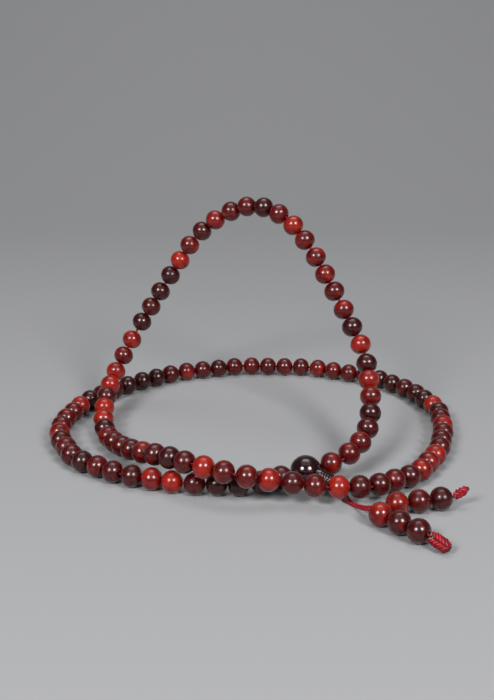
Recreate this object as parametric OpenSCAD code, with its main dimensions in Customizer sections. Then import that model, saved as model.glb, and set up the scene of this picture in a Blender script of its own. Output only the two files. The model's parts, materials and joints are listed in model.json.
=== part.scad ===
// A string of round wooden prayer beads, laid in two turns on a flat surface. Part of the inner turn
// stands up in an arch, as it does when it is draped over something. The two cord ends leave the guru
// bead through a turned finial and carry one counter strand each.

/* [Beads] */
// Diameter of a bead
bead_d = 8; // [6:0.1:12]
// Length of a bead along its bore
bead_len = 7.4; // [5.5:0.1:9]
// Diameter of the bore in a bead
bead_bore = 1.8; // [1.4:0.1:2.4]
// Bevel at each mouth of the bore
bore_bevel = 0.25; // [0.1:0.05:0.4]
// Gap between beads threaded in one straight run
run_gap = 0.15; // [0.1:0.05:0.4]
// Gap between the last bead of a run and the first bead of the next
bend_gap = 0.65; // [0.5:0.05:1.2]

/* [Guru bead and finial] */
// Diameter of the guru bead
guru_d = 11; // [9:0.1:13.5]
// Diameter of the bores in the guru bead
guru_bore = 2.6; // [2.4:0.1:3.2]
// Gap between the guru bead and what is threaded next to it
guru_gap = 0.25; // [0.15:0.05:0.5]
// Length of the finial
finial_len = 8.2; // [6:0.1:10]
// Diameter of the finial's foot
finial_d = 6.4; // [5.2:0.1:7.8]
// Number of turned rings on the finial
finial_rings = 6; // [4:1:7]

/* [Cord] */
// Diameter of the cord
cord_d = 1; // [0.8:0.05:1.1]
// Gap between the two cords in the finial
cord_pair_gap = 0.2; // [0.1:0.05:0.3]

/* [Counter strands] */
// Diameter of a counter bead
counter_d = 8; // [6:0.1:9]
// Length of a counter bead along its bore
counter_len = 7.5; // [5.5:0.1:8.5]
// Length of the knot that ends strand A
knot_a_len = 7; // [5:0.1:9]
// Width of knot A
knot_a_w = 4.6; // [4:0.1:6]
// Thickness of knot A
knot_a_t = 2.7; // [2:0.1:3.2]
// Length of the knot that ends strand B
knot_b_len = 5; // [4:0.1:9]
// Width of knot B
knot_b_w = 3.4; // [3:0.1:6]
// Thickness of knot B
knot_b_t = 2.3; // [2:0.1:3.2]

/* [Hidden] */
$fn = 48;
cord_sides = 8;
crossing_gap = 0.3;      // between beads where one turn lies over the other
fold_gap = 0.6;          // extra room between the two beads on each side of a fold
cord_break = 0.6;        // how far a cord stops short of a fold's axis
curve_steps = 16;        // straight steps between two points of the route
scale_passes = 6;        // times that the route's size is corrected

// The route of the main cord, from the guru bead up the right leg of the arch, down the left leg,
// round the front and the outside, and back. [x, y, height above the table, share of a bead crossed].
route = [
    [20, -49, 0, 0],
    [28, -48, 3, 0], [37, -42, 5, 0], [43, -31, 9, 0], [46, -13, 19, 0], [44, 0, 30, 0],
    [37, 7, 43, 0], [29, 12, 58, 0], [21, 17, 70, 0], [11, 25, 79, 0], [-2, 33, 79, 0],
    [-15, 38, 71, 0], [-26, 40, 59, 0], [-34, 39, 45, 0], [-43, 37, 31, 0], [-49, 37, 20, 0],
    [-54, 30, 11, 0], [-56, 18, 6, 0], [-56, 3, 2, 0],
    [-53, -12, 0, 0], [-43, -32, 0, 0.3], [-28, -50, 0, 0.9], [-9, -65, 0, 1],
    [12, -64, 0, 0.5], [33, -66, 0, 0.35],
    [53, -54, 0, 0], [66, -36, 0, 0], [73, -14, 0, 0], [77, 10, 0, 0], [72, 32, 0, 0],
    [59, 52, 0, 0], [41, 65, 0, 0], [19, 71, 0, 0], [-4, 71, 0, 0], [-27, 64, 0, 0],
    [-46, 50, 0, 0], [-60, 34, 0, 0], [-70, 14, 0, 0], [-71, -8, 0, 0], [-66, -29, 0, 0],
    [-48, -46, 0, 0], [-26, -55, 0, 0], [-3, -58, 0, 0], [11, -53, 0, 0],
];

// Beads threaded in each straight run, in the route's order, and the runs that each fold moves.
foot_runs = [1];
leg_runs_right = [2, 2, 3];
top_runs = [3, 3, 2, 2, 2, 2, 3, 3];
leg_runs_left = [2, 1, 1, 2];
ring_runs = [2, 2, 2, 2, 2, 2, 2, 2, 2, 3, 3, 3, 3, 3, 3, 4, 4, 4, 3, 2, 2, 3, 2, 3, 3, 3, 3, 2];
runs = concat(foot_runs, leg_runs_right, top_runs, leg_runs_left, ring_runs);
foot_right = len(foot_runs);
knee_right = foot_right + len(leg_runs_right);
knee_left = knee_right + len(top_runs);
foot_left = knee_left + len(leg_runs_left);
folds = [foot_right, knee_right, knee_left, foot_left];

function sum(v, i = 0) = i == len(v) ? 0 : v[i] + sum(v, i + 1);
function unit(v) = v / norm(v);
function is_fold(i) = len([for (f = folds) if (f == i) f]) > 0;

// Free cord at each end of a run, and the length of the whole run.
function margin(i) = i == 0 || i == len(runs) ? guru_d / 2 + guru_gap
    : (bend_gap + (is_fold(i) ? fold_gap : 0)) / 2;
function run_len(k) = margin(k) + runs[k] * bead_len + (runs[k] - 1) * run_gap + margin(k + 1);
run_lens = [for (k = [0 : len(runs) - 1]) run_len(k)];
strand_len = sum(run_lens);

// A smooth curve through the route's points at a given size.
function placed(i, s) = let (p = route[i], resting = (i == 0 ? guru_d : bead_d) / 2)
    [p.x * s, p.y * s, resting + p.z * s + p[3] * (bead_d + crossing_gap)];
function between(a, b, c, d, t) = (2 * b + (c - a) * t + (2 * a - 5 * b + 4 * c - d) * t * t
    + (3 * b - a - 3 * c + d) * t * t * t) / 2;
function ends_added(q) = concat([2 * q[0] - q[1]], q, [q[0], 2 * q[0] - q[len(q) - 1]]);
function on_table(p) = [p.x, p.y, max(p.z, bead_d / 2)];
function curve(s) = let (q = ends_added([for (i = [0 : len(route) - 1]) placed(i, s)]))
    concat([for (i = [1 : len(q) - 3], k = [0 : curve_steps - 1])
        on_table(between(q[i - 1], q[i], q[i + 1], q[i + 2], k / curve_steps))], [q[1]]);

// The corners of the strand, found by stepping off the runs along that curve.
function reach(path, from, far, j) = j >= len(path) - 1 || norm(path[j] - from) >= far ? j
    : reach(path, from, far, j + 1);
function step_off(path, from, k, j) = k == len(runs) - 1 ? [from, path[len(path) - 1]]
    : let (
        next = reach(path, from, run_lens[k], j),
        near = norm(path[next - 1] - from),
        far = norm(path[next] - from),
        corner = path[next - 1] + (path[next] - path[next - 1]) * (run_lens[k] - near) / (far - near)
    ) concat([from], step_off(path, corner, k + 1, next));
function corners(s) = let (path = curve(s)) step_off(path, path[0], 0, 1);
function left_over(c) = norm(c[len(c) - 1] - c[len(c) - 2]) - run_lens[len(runs) - 1];
function route_size(s, passes) = passes == 0 ? s
    : route_size(s * (1 - left_over(corners(s)) / strand_len), passes - 1);
start_size = 1.05 * strand_len / 848;    // the route is drawn for a strand about 848 long
raw_corners = corners(route_size(start_size, scale_passes));

// Everything is moved so that the strand lies in the middle of the frame.
function run_way(c, k) = unit(c[k + 1] - c[k]);
function bead_at(c, k, i) = c[k] + run_way(c, k)
    * (margin(k) + bead_len / 2 + i * (bead_len + run_gap));
raw_beads = [for (k = [0 : len(runs) - 1], i = [0 : runs[k] - 1]) bead_at(raw_corners, k, i)];
raw_x = [for (b = raw_beads) b.x];
raw_y = [for (b = raw_beads) b.y];
middle = [(min(raw_x) + max(raw_x)) / 2, (min(raw_y) + max(raw_y)) / 2, 0];
strand = [for (c = raw_corners) c - middle];
guru = strand[0];

// The guru bead's bore runs straight through it, half way between the strand's two directions.
guru_way = unit(strand[1] - strand[len(strand) - 2]);

// Finial: it points away from the strand's turn and rests low.
finial_way = unit([11, -8, -2.2]);
finial_foot = guru + finial_way * (guru_d / 2 + guru_gap);
finial_mouth = finial_foot + finial_way * finial_len;
cord_pair_w = 2 * cord_d + cord_pair_gap;
finial_bore = cord_pair_w + 0.4;
guru_side_bore = cord_pair_w + 0.2;
cord_offset = (cord_d + cord_pair_gap) / 2;
across = unit(cross([0, 0, 1], finial_way));
cord_start = 0.28 * guru_d;              // the cord ends part from the strand this far from its centre
finial_wall = 0.5;                       // round the bore at the finial's mouth
mouth_gap = 0.6;                         // from the mouth to where each counter cord starts
finial_base = 1.1;                       // height of the foot above the guru bead
finial_tip = 1.2;                        // plain stretch at the mouth
ring_step = 0.12;                        // each ring is this much nearer the axis than the last
ring_overlap = 0.1;

// Counter strands. Each stem is a list of places measured from the finial's mouth, with the height
// above the table, and the beads follow it in a straight run.
counter_count = 3;
counter_gap = 0.3;
counter_pitch = counter_len + counter_gap;
stem_a = [[0.5, -1.9, 2.3], [0.8, -3.8, 1.5], [1.4, -5.6, 0.9], [2.5, -7.3, 0.6], [3.8, -9.1, 0.6],
    [5, -11.2, 0.9], [6, -13.5, 1.5], [6.8, -15.9, 2.4], [7.6, -18.2, 3.3]];
stem_b = [[1.7, -1.2, 2.3], [2.2, -3.1, 1.5], [2.7, -5.1, 0.9], [3.7, -6.9, 0.6], [5.1, -8.7, 0.6],
    [6.6, -10.5, 0.9], [8.1, -12.3, 1.5], [9.8, -13.9, 2.4], [11.8, -15.2, 3.3]];
way_a = unit([0.67, -0.74, 0]);
way_b = unit([0.97, 0.24, 0]);
first_a = [8.5, -20, 0];
first_b = [13.7, -15.9, 0];
knot_drop_a = 11;                        // knot A sinks towards the table, and knot B stands up a little
knot_drop_b = -26;
knot_roll_a = 60;
knot_roll_b = 90;
knot_lead = 1;
knot_clear = 0.1;
mouth_floor = [finial_mouth.x, finial_mouth.y, 0];
function pole(first) = mouth_floor + first + [0, 0, counter_d / 2];
function counter_at(first, way, i) = pole(first) + way * (counter_gap / 2 + counter_len / 2
    + i * counter_pitch);
function knot_way(way, drop) = [way.x * cos(drop), way.y * cos(drop), -sin(drop)];
function knot_at(first, way, drop) = pole(first) + way * counter_count * counter_pitch
    + knot_way(way, drop) * knot_lead;
function tail(stem, first, way, side, drop) = concat(
    [finial_mouth + across * side * cord_offset + finial_way * mouth_gap],
    [for (p = stem) mouth_floor + p],
    [for (i = [0 : counter_count]) pole(first) + way * i * counter_pitch],
    [knot_at(first, way, drop)]);

function bead_name(k) = let (first = sum([for (i = [0 : 1 : k - 1]) runs[i]]) + 1, last = first + runs[k] - 1)
    first == last ? str("bead_", first) : str("beads_", first, "_to_", last);
bead_nodes = [for (k = [0 : len(runs) - 1]) bead_name(k)];
counter_nodes = ["counter_a_bead_1", "counter_a_bead_2", "counter_a_bead_3",
    "counter_b_bead_1", "counter_b_bead_2", "counter_b_bead_3"];

wood_tones = ["#6b1216", "#8a1a16", "#4a0f14", "#7a1518", "#a02314"];
cord_red = "#b3122a";

// Turns a child that stands on +Z to point along a direction.
module aim(at, way) {
    translate(at) rotate([0, acos(way.z / norm(way)), atan2(way.y, way.x)]) children();
}

// A bored bead on +Z, a little shorter than it is wide, with no edge at its poles.
module bead(d, l, bore) {
    rotate_extrude() difference() {
        intersection() {
            translate([(d - l) / 2, 0]) circle(d = l);
            translate([0, -l / 2]) square([d / 2, l]);
        }
        translate([0, -l / 2]) square([bore / 2, l]);
        for (side = [-1, 1])
            polygon([[bore / 2 - 0.01, side * (l / 2 - bore_bevel)],
                [bore / 2 + bore_bevel, side * (l / 2 + 0.01)], [bore / 2 - 0.01, side * (l / 2 + 0.01)]]);
    }
}

module bead_run(k) {
    first = sum([for (i = [0 : 1 : k - 1]) runs[i]]);
    for (i = [0 : runs[k] - 1])
        color(wood_tones[(first + i) * 7 % len(wood_tones)])
            aim(bead_at(strand, k, i), run_way(strand, k)) bead(bead_d, bead_len, bead_bore);
}

// A larger bead with one bore straight through it and a third one from the side, for the cord ends.
module guru_bead() {
    color("#2c0c14") difference() {
        translate(guru) sphere(d = guru_d);
        aim(guru, guru_way) translate([0, 0, -guru_d]) cylinder(d = guru_bore, h = 2 * guru_d);
        aim(guru, finial_way) cylinder(d = guru_side_bore, h = guru_d);
    }
}

// A turned tower: a foot hollowed to fit the guru bead, rings that get smaller, and a blunt tip.
module finial() {
    ring_span = (finial_len - finial_base - finial_tip) / finial_rings;
    color("#2c0c14") difference() {
        aim(finial_foot, finial_way) rotate_extrude() difference() {
            union() {
                translate([0, -finial_base]) square([finial_d / 2, 2 * finial_base]);
                for (i = [0 : finial_rings - 1]) {
                    middle = finial_d / 2 - ring_span / 2 - ring_step * (i + 1);
                    translate([0, finial_base + ring_span * i]) square([middle, ring_span]);
                    translate([middle, finial_base + ring_span * (i + 0.5)]) circle(d = ring_span + ring_overlap);
                }
                translate([0, finial_len - finial_tip]) square([finial_bore / 2 + finial_wall, finial_tip]);
            }
            translate([-finial_d, -finial_len]) square([finial_d + finial_bore / 2, 3 * finial_len]);
        }
        translate(guru) sphere(d = guru_d + 2 * guru_gap);
    }
}

module finial_cords() {
    color(cord_red) for (side = [-1, 1])
        aim(guru + across * side * cord_offset + finial_way * cord_start, finial_way)
            cylinder(d = cord_d, h = guru_d / 2 + guru_gap + finial_len - cord_start);
}

// A cord swept along points, as one closed tube.
module cord(points) {
    n = len(points);
    rings = [for (i = [0 : n - 1])
        let (
            before = unit(points[max(i, 1)] - points[max(i, 1) - 1]),
            after = unit(points[min(i, n - 2) + 1] - points[min(i, n - 2)]),
            way = unit(before + after),
            side = unit(cross(way, [0, 0, 1])),
            up = cross(side, way)
        )
        for (a = [0 : cord_sides - 1])
            points[i] + cord_d / 2 * (side * cos(360 * a / cord_sides) + up * sin(360 * a / cord_sides))];
    skin = [for (i = [0 : n - 2], a = [0 : cord_sides - 1])
        let (b = (a + 1) % cord_sides, here = i * cord_sides, there = here + cord_sides)
        each [[here + a, here + b, there + b], [here + a, there + b, there + a]]];
    first_cap = [for (a = [1 : cord_sides - 2]) [0, a + 1, a]];
    last = (n - 1) * cord_sides;
    last_cap = [for (a = [1 : cord_sides - 2]) [last, last + a, last + a + 1]];
    color(cord_red) polyhedron(points = rings, faces = [for (f = concat(skin, first_cap, last_cap))
        [f[2], f[1], f[0]]], convexity = 10);
}

// The part of the strand from one corner to another, held back from the folds at its ends.
function part(from, to) = [for (i = [from : to])
    i == from ? strand[i] + run_way(strand, i) * (is_fold(i) ? cord_break : 0)
    : i == to ? strand[i] - run_way(strand, i - 1) * (is_fold(i) ? cord_break : 0)
    : strand[i]];

module main_cord() {
    loop_end = part(foot_left, len(runs));
    cord(concat([for (i = [0 : len(loop_end) - 2]) loop_end[i]], part(0, foot_right)));
}

module arch_leg_cords() {
    cord(part(foot_right, knee_right));
    cord(part(knee_left, foot_left));
}

module arch_top_cord() {
    cord(part(knee_right, knee_left));
}

module counter_bead(first, way, i) {
    color(wood_tones[i]) aim(counter_at(first, way, i), way) bead(counter_d, counter_len, bead_bore);
}

// A flat knot of two columns side by side, turned about its own length by a roll angle.
module knot(first, way, drop, roll, len, w, t) {
    column = t / 2;
    color(cord_red) translate(knot_at(first, way, drop)) rotate([0, drop, atan2(way.y, way.x)])
        rotate([roll, 0, 0])
        union() for (side = [-1, 1])
            translate([knot_clear + column, side * (w - t) / 2, 0]) {
                sphere(d = t);
                rotate([0, 90, 0]) cylinder(d = t, h = len - t);
                translate([len - t, 0, 0]) sphere(d = t);
            }
}

main_cord();
guru_bead();
finial();
finial_cords();
arch_leg_cords();
arch_top_cord();
cord(tail(stem_a, first_a, way_a, -1, knot_drop_a));  // counter_a_cord
cord(tail(stem_b, first_b, way_b, 1, knot_drop_b));  // counter_b_cord
knot(first_a, way_a, knot_drop_a, knot_roll_a, knot_a_len, knot_a_w, knot_a_t);  // counter_a_knot
knot(first_b, way_b, knot_drop_b, knot_roll_b, knot_b_len, knot_b_w, knot_b_t);  // counter_b_knot
for (i = [0 : counter_count - 1])
    counter_bead(first_a, way_a, i);
for (i = [0 : counter_count - 1])
    counter_bead(first_b, way_b, i);
for (k = [0 : len(runs) - 1])
    bead_run(k);
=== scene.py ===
"""A long string of polished red wooden prayer beads, laid in two turns with part of it standing in an arch.

It has a larger guru bead, a turned finial and two knotted counter strands. Places are in metres, in the
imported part's own frame. Wood grain and cord fibres are laid out in millimetres.
"""

import json
import logging
import math
import random
import re
from collections.abc import Sequence
from dataclasses import dataclass, field
from enum import Enum

import bpy
import numpy as np
from mathutils import Euler, Matrix, Vector

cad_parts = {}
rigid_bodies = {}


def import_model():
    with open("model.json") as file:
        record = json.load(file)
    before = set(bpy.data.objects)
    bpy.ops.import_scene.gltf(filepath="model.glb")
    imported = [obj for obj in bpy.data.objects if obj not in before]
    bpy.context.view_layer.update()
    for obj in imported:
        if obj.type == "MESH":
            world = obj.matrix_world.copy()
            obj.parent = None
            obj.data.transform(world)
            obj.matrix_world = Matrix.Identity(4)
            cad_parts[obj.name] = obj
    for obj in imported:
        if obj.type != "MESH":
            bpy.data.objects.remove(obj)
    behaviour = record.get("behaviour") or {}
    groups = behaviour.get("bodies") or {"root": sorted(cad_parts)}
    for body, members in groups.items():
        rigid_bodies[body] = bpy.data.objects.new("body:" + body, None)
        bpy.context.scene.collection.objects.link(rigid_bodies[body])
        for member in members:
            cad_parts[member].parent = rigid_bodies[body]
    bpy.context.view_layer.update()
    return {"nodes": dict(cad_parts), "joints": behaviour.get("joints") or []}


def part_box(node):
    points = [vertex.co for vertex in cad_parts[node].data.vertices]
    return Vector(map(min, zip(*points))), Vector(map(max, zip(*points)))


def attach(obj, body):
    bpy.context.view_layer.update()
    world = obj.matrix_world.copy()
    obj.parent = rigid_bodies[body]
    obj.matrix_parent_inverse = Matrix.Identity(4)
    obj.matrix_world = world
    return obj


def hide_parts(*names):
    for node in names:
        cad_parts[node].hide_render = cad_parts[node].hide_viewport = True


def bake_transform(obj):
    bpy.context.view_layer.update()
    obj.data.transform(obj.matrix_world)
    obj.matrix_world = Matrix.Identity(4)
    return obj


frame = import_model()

log = logging.getLogger("prayer_beads")

MM = 0.001
UP = Vector((0.0, 0.0, 1.0))
GRAIN_PLACE = "grain_place"
WOOD_TONE = "wood_tone"
LIP_NEARNESS = "lip_nearness"
# Painted shade mask for the valley between plies.
PLY_VALLEY_SHADE = "ply_valley"
FIBRE_PLACE = "fibre_place"

Colour = tuple[float, float, float]
Socket = bpy.types.NodeSocket


class Slot(Enum):
    """The record's material slots."""

    BEAD_WOOD = "bead_wood"
    DARK_WOOD = "dark_wood"
    CORD = "cord"


class Body(Enum):
    """The bodies that carry cord."""

    STRAND = "strand"
    ARCH_LEGS = "arch_legs"
    ARCH_TOP = "arch_top"
    COUNTER_A = "counter_a"
    COUNTER_B = "counter_b"


class Hand(Enum):
    """Which way a coil of the knot winds, and the side of the knot it is on."""

    LEFT = -1
    RIGHT = 1


# ---------------------------------------------------------------------------------------------------
# Places and lines


def aim(at: Vector, way: Vector, spin: float = 0.0) -> Matrix:
    """Gives the placing that stands a piece's own z axis along a direction.

    Args:
        at: Where the piece's middle goes.
        way: The direction its z axis takes.
        spin: How far it is turned about that axis, in radians.

    Returns:
        The placing.
    """
    turned = way.to_track_quat("Z", "Y").to_matrix().to_4x4()
    return Matrix.Translation(at) @ turned @ Matrix.Rotation(spin, 4, "Z")


def middle_of(node: str) -> Vector:
    """The middle of a node's box at rest."""
    low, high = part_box(node)
    return (low + high) / 2


def turning_axis(node: str) -> Vector:
    """The direction of the bore that a threaded run of beads turns about."""
    joint = next(j for j in frame["joints"] if j["name"] == f"turn_{node}")
    return Vector(joint["axis"]).normalized()


@dataclass
class Line:
    """A smooth line in even steps.

    Attributes:
        points: The places along it, one row each.
        closed: Whether its end runs on into its start.
    """

    points: np.ndarray
    closed: bool = False

    @property
    def length(self) -> float:
        """The line's length."""
        ends = np.vstack([self.points, self.points[:1]]) if self.closed else self.points
        return float(np.linalg.norm(np.diff(ends, axis=0), axis=1).sum())

    def ways(self) -> np.ndarray:
        """The direction at each point."""
        if self.closed:
            steps = np.roll(self.points, -1, axis=0) - np.roll(self.points, 1, axis=0)
        else:
            steps = np.gradient(self.points, axis=0)
        return steps / np.linalg.norm(steps, axis=1, keepdims=True)

    def nearest(self, place: Vector) -> int:
        """The number of the point nearest to a place."""
        return int(np.linalg.norm(self.points - np.array(place), axis=1).argmin())


def even_steps(points: np.ndarray, step: float, closed: bool) -> Line:
    """Divides a line again into equal steps.

    Args:
        points: A fine line; a closed one ends with its first point.
        step: The wanted length of a step.
        closed: Whether the line is a loop.

    Returns:
        The line in steps as near to that length as divides it evenly.
    """
    along = np.concatenate([[0.0], np.cumsum(np.linalg.norm(np.diff(points, axis=0), axis=1))])
    count = round(along[-1] / step)
    stops = np.linspace(0.0, along[-1], count + 1)
    even = np.column_stack([np.interp(stops, along, points[:, i]) for i in range(3)])
    return Line(even[:-1] if closed else even, closed)


def hermite(starts: Sequence[Vector], ways: Sequence[Vector], pulls: Sequence[float]) -> np.ndarray:
    """Draws one smooth line through stations with known directions.

    Args:
        starts: The stations.
        ways: The direction at each.
        pulls: How strongly each stretch holds its end directions, as a length.

    Returns:
        A fine line through them.
    """
    fineness = 24
    t = np.linspace(0.0, 1.0, fineness, endpoint=False)[:, None]
    stretches = []
    for i in range(len(starts) - 1):
        a, b = np.array(starts[i]), np.array(starts[i + 1])
        m, n = np.array(ways[i]) * pulls[i], np.array(ways[i + 1]) * pulls[i]
        stretches.append(
            (2 * t**3 - 3 * t**2 + 1) * a
            + (t**3 - 2 * t**2 + t) * m
            + (3 * t**2 - 2 * t**3) * b
            + (t**3 - t**2) * n
        )
    return np.vstack([*stretches, np.array(starts[-1])[None, :]])


def through(places: Sequence[Vector], first_way: Vector) -> np.ndarray:
    """Draws a smooth line through places that were chosen one by one.

    Args:
        places: The places, in order.
        first_way: The direction in which the line sets out.

    Returns:
        A fine line through them.
    """
    gaps = [(b - a).length for a, b in zip(places, places[1:])]
    ways = [first_way]
    for i in range(1, len(places) - 1):
        back, on = (places[i] - places[i - 1]) / gaps[i - 1], (places[i + 1] - places[i]) / gaps[i]
        ways.append((back * gaps[i] + on * gaps[i - 1]).normalized())
    ways.append((places[-1] - places[-2]).normalized())
    return hermite(places, ways, gaps)


# ---------------------------------------------------------------------------------------------------
# Meshes


def give(mesh: bpy.types.Mesh, name: str, values: np.ndarray) -> None:
    """Stores a number or a vector on each corner point of a mesh.

    Args:
        mesh: The mesh.
        name: The attribute's name.
        values: One row for each point.
    """
    vector = values.ndim == 2
    attribute = mesh.attributes.new(name, "FLOAT_VECTOR" if vector else "FLOAT", "POINT")
    attribute.data.foreach_set("vector" if vector else "value", values.astype(np.float32).ravel())


def piece_from(name: str, points: np.ndarray, faces: Sequence[Sequence[int]], finish: bpy.types.Material) -> bpy.types.Object:
    """Makes a smooth-shaded piece.

    Args:
        name: The piece's name.
        points: Its corner points.
        faces: Its faces, as numbers of points.
        finish: Its material.

    Returns:
        The new object.
    """
    mesh = bpy.data.meshes.new(name)
    mesh.from_pydata(points.tolist(), [], [list(f) for f in faces])
    mesh.materials.append(finish)
    mesh.shade_smooth()
    piece = bpy.data.objects.new(name, mesh)
    bpy.context.scene.collection.objects.link(piece)
    return piece


def arc(middle: tuple[float, float], radius: float, start: float, end: float,
        steps: int) -> list[tuple[float, float]]:
    """Points of an arc in an outline of (radius, height), with angles in degrees from the radius."""
    angles = [math.radians(start + (end - start) * i / steps) for i in range(steps + 1)]
    return [(middle[0] + radius * math.cos(a), middle[1] + radius * math.sin(a)) for a in angles]


def lathe(outline: Sequence[tuple[float, float]], sides: int) -> tuple[np.ndarray, list[list[int]]]:
    """Turns a closed outline about the z axis.

    Args:
        outline: (radius, height) points, going round anticlockwise.
        sides: Steps in a turn.

    Returns:
        The points and the faces, which look outwards.
    """
    rows = np.array(outline)
    count = len(rows)
    turns = np.arange(sides) * math.tau / sides
    points = np.stack(
        [
            np.outer(np.cos(turns), rows[:, 0]),
            np.outer(np.sin(turns), rows[:, 0]),
            np.tile(rows[:, 1], (sides, 1)),
        ],
        axis=-1,
    ).reshape(-1, 3)
    faces = []
    for i in range(sides):
        here, there = i * count, (i + 1) % sides * count
        for j in range(count):
            k = (j + 1) % count
            faces.append([here + j, there + j, there + k, here + k])
    return points, faces


# ---------------------------------------------------------------------------------------------------
# Materials


class Sheet:
    """Adds nodes to one tree and joins them."""

    def __init__(self, tree: bpy.types.NodeTree) -> None:
        """Takes the tree to add to."""
        self.tree = tree

    def add(self, kind: str, settings: dict[str, object] | None = None,
            inputs: dict[str | int, object] | None = None) -> bpy.types.Node:
        """Adds one node.

        Args:
            kind: The node's type, without its ShaderNode prefix.
            settings: Properties to set on it.
            inputs: Values or sockets for its inputs.

        Returns:
            The node.
        """
        node = self.tree.nodes.new(kind if kind.startswith("NodeGroup") else f"ShaderNode{kind}")
        for name, value in (settings or {}).items():
            setattr(node, name, value)
        for name, value in (inputs or {}).items():
            self.feed(node.inputs[name], value)
        return node

    def feed(self, socket: Socket, value: object) -> None:
        """Joins a socket to an input, or sets the input to a value."""
        if isinstance(value, bpy.types.NodeSocket):
            self.tree.links.new(value, socket)
        elif socket.type == "RGBA" and len(value) == 3:
            socket.default_value = (*value, 1.0)
        else:
            socket.default_value = value

    def maths(self, operation: str, a: object, b: object = 0.0) -> Socket:
        """One step of arithmetic."""
        return self.add("Math", {"operation": operation}, {0: a, 1: b}).outputs[0]

    def ramp(self, value: Socket, low: float, high: float, start: float = 0.0, end: float = 1.0) -> Socket:
        """Maps a range smoothly on to another one."""
        inputs = {"Value": value, "From Min": low, "From Max": high, "To Min": start, "To Max": end}
        return self.add("MapRange", {"interpolation_type": "SMOOTHSTEP"}, inputs).outputs["Result"]

    def mix(self, share: object, a: object, b: object, mode: str = "MIX") -> Socket:
        """Mixes two colours."""
        node = self.add("Mix", {"data_type": "RGBA", "blend_type": mode})
        self.feed(node.inputs[0], share)
        self.feed(node.inputs[6], a)
        self.feed(node.inputs[7], b)
        return node.outputs[2]

    def stretch(self, place: Socket, scale: Colour) -> Socket:
        """Stretches the space that a pattern is laid out in."""
        inputs = {"Vector": place, "Scale": scale}
        return self.add("Mapping", {"vector_type": "TEXTURE"}, inputs).outputs[0]

    def noise(self, place: Socket, scale: float, detail: float = 2.0, roughness: float = 0.5) -> Socket:
        """Soft noise from 0 to 1."""
        inputs = {"Vector": place, "Scale": scale, "Detail": detail, "Roughness": roughness}
        return self.add("TexNoise", None, inputs).outputs["Fac"]

    def attribute(self, name: str) -> bpy.types.Node:
        """Reads what is stored on the mesh."""
        return self.add("Attribute", {"attribute_name": name})


def new_group(
    name: str, inputs: dict[str, tuple[str, object]], outputs: dict[str, str]
) -> tuple[bpy.types.NodeTree, Sheet, dict[str, Socket], bpy.types.Node]:
    """Starts a shader node group.

    Args:
        name: The group's name.
        inputs: For each input, its kind (Float, Color or Vector) and its default.
        outputs: The kind of each output.

    Returns:
        The group, a sheet to draw it on, its inputs by name and its output node.
    """
    group = bpy.data.node_groups.new(name, "ShaderNodeTree")
    for title, (kind, default) in inputs.items():
        socket = group.interface.new_socket(title, in_out="INPUT", socket_type=f"NodeSocket{kind}")
        socket.default_value = (*default, 1.0) if kind == "Color" else default
    for title, kind in outputs.items():
        group.interface.new_socket(title, in_out="OUTPUT", socket_type=f"NodeSocket{kind}")
    sheet = Sheet(group)
    entry, leaving = sheet.add("NodeGroupInput"), sheet.add("NodeGroupOutput")
    return group, sheet, {s.name: s for s in entry.outputs if s.name}, leaving


# Stretches of the wood's patterns, in millimetres, with the fibres along z.
GRAIN_WARP = (3.4, 3.4, 3.4)
FIBRE_STRETCH = (0.42, 0.42, 5.0)
PATCH_STRETCH = (1.0, 1.0, 2.2)
PORE_STRETCH = (0.16, 0.16, 1.3)
# How much the bands and the fibres count, and where each colour passes into the next.
BAND_SHARE, FIBRE_SHARE = 0.14, 0.9
DEEP_TO_MAIN = (0.22, 0.82)
MAIN_TO_FIERY = (0.5, 0.92)
MOST_FIERY = 0.85
PORE_EDGE = (0.6, 0.74)
PORE_DARKNESS = 0.55
FIBRE_HEIGHT = 0.3


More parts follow.
